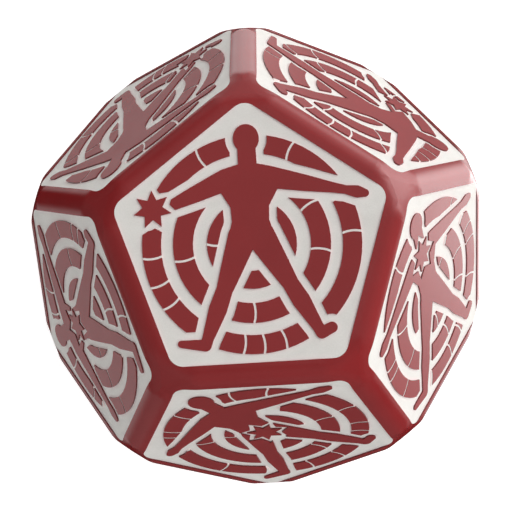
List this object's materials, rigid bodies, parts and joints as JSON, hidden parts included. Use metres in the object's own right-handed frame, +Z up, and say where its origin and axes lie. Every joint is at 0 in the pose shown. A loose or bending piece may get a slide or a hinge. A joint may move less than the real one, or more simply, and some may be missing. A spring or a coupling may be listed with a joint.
{
  "type": "polyhedral die",
  "caption": "Regular dodecahedral die with rounded edges, each face engraved and ink-filled with a figure over a round target and a star on the part that is hit.",
  "frame": {"origin": "on the surface the die stands on, under the centre of the die", "axes": "+Z up, out of the top face; +Y towards the corner of the top face that the figure's head points at; +X to the reader's right of that figure"},
  "size_m": [0.022, 0.0224, 0.019],
  "materials": {
    "body_plastic": "satin moulded plastic, dark red, edges and corners tumbled smooth",
    "ink": "matt off-white paint wiped into the engraving"
  },
  "bodies": {
    "root": {"die_body": "body_plastic", "ink_left_hand": "ink", "ink_groin": "ink", "ink_neck": "ink", "ink_left_elbow": "ink", "ink_left_ankle": "ink", "ink_chest": "ink", "ink_right_ankle": "ink", "ink_head": "ink", "ink_left_knee": "ink", "ink_right_hand": "ink", "ink_right_elbow": "ink", "ink_right_knee": "ink"}
  },
  "joints": []
}
